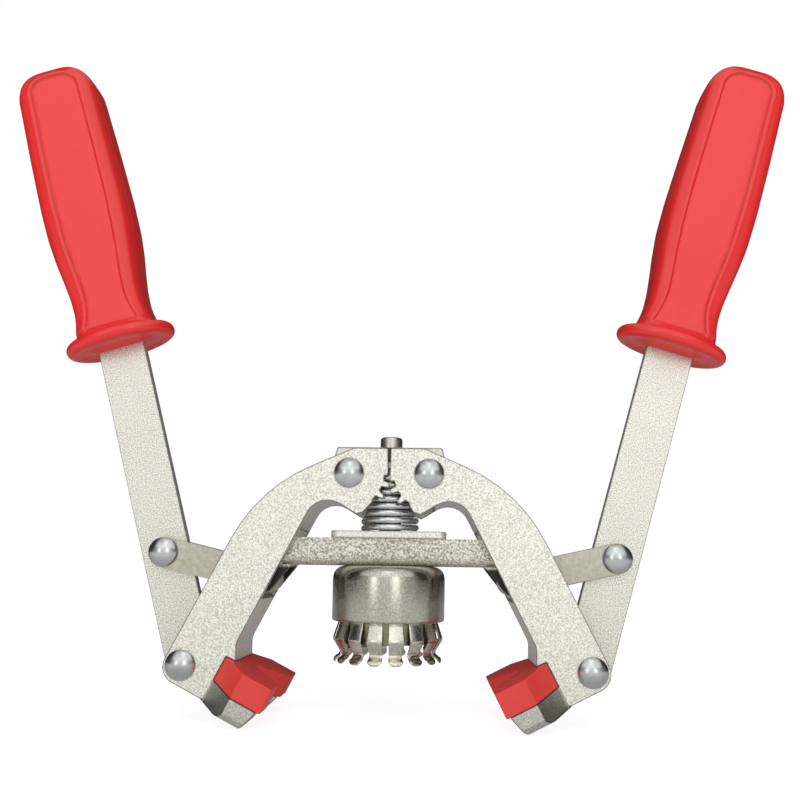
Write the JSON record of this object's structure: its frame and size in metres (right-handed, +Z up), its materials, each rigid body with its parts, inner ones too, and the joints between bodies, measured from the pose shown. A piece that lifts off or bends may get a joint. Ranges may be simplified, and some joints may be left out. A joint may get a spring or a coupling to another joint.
{
  "type": "bottle capper",
  "caption": "Hand bottle capper with two red-gripped levers, geared arms with padded jaws, and a finger collet bell that crimps a crown cap.",
  "frame": {"origin": "on the bell axis, at the mouth of the cap guide", "axes": "+Z up along the bell axis, away from the bottle; +X to the right lever; -Y is the front"},
  "size_m": [0.2898, 0.048, 0.2427],
  "materials": {
    "plated_steel": "satin plated",
    "rivet_steel": "bright domed",
    "spring_wire": "bright zinc",
    "turned_steel": "turned",
    "cup_nickel": "satin nickel",
    "collet_steel": "polished",
    "red_grip": "fine grained",
    "red_pad": "moulded"
  },
  "bodies": {
    "head": {"crossbar": "plated_steel", "spring_seat": "plated_steel", "return_spring": "spring_wire", "spindle": "turned_steel", "spindle_nut": "turned_steel", "pressure_pad": "turned_steel", "bell_cup": "cup_nickel", "finger_collet": "collet_steel", "cap_guide_ring": "cup_nickel", "left_crossbar_pin": "rivet_steel", "right_crossbar_pin": "rivet_steel"},
    "frame": {"frame_bracket": "plated_steel", "guide_bush": "turned_steel", "left_pivot_rivet": "rivet_steel", "right_pivot_rivet": "rivet_steel"},
    "left_arm_body": {"left_arm": "plated_steel", "left_jaw_pad": "red_pad", "left_lever_rivet": "rivet_steel", "left_lever_spacers": "turned_steel"},
    "left_lever_body": {"left_lever": "plated_steel", "left_grip": "red_grip", "left_link_rivet": "rivet_steel"},
    "left_link_body": {"left_front_link": "plated_steel", "left_rear_link": "plated_steel"},
    "right_arm_body": {"right_arm": "plated_steel", "right_jaw_pad": "red_pad", "right_lever_rivet": "rivet_steel", "right_lever_spacers": "turned_steel"},
    "right_lever_body": {"right_lever": "plated_steel", "right_grip": "red_grip", "right_link_rivet": "rivet_steel"},
    "right_link_body": {"right_front_link": "plated_steel", "right_rear_link": "plated_steel"}
  },
  "joints": [
    {"name": "frame_lift", "type": "slide", "parent": "head", "child": "frame", "axis": [0, 0, 1], "range_m": [0, 0.006], "deforming": ["return_spring"]},
    {"name": "left_arm_swing", "type": "hinge", "parent": "frame", "child": "left_arm_body", "pos_m": [-0.014, 0, 0.0588], "axis": [0, -1, 0], "range_deg": [0, 20]},
    {"name": "left_lever_swing", "type": "hinge", "parent": "left_arm_body", "child": "left_lever_body", "pos_m": [-0.07, 0, -0.008], "axis": [0, -1, 0], "range_deg": [0, 22]},
    {"name": "left_link_swing", "type": "hinge", "parent": "left_lever_body", "child": "left_link_body", "pos_m": [-0.0806, 0, 0.03047], "axis": [0, -1, 0], "range_deg": [-2.5, 0]},
    {"name": "right_arm_swing", "type": "hinge", "parent": "frame", "child": "right_arm_body", "pos_m": [0.014, 0, 0.0588], "axis": [0, 1, 0], "range_deg": [0, 20]},
    {"name": "right_lever_swing", "type": "hinge", "parent": "right_arm_body", "child": "right_lever_body", "pos_m": [0.07, 0, -0.008], "axis": [0, 1, 0], "range_deg": [0, 22]},
    {"name": "right_link_swing", "type": "hinge", "parent": "right_lever_body", "child": "right_link_body", "pos_m": [0.0806, 0, 0.03047], "axis": [0, 1, 0], "range_deg": [-2.5, 0]}
  ],
  "couplings": [
    {"joint": "frame_lift", "follows": "left_arm_swing", "m_per_rad": 0.01718},
    {"joint": "left_lever_swing", "follows": "left_arm_swing", "ratio": 1.097},
    {"joint": "left_link_swing", "follows": "left_arm_swing", "ratio": -0.12},
    {"joint": "right_arm_swing", "follows": "left_arm_swing", "ratio": 1},
    {"joint": "right_lever_swing", "follows": "left_arm_swing", "ratio": 1.097},
    {"joint": "right_link_swing", "follows": "left_arm_swing", "ratio": -0.12}
  ]
}
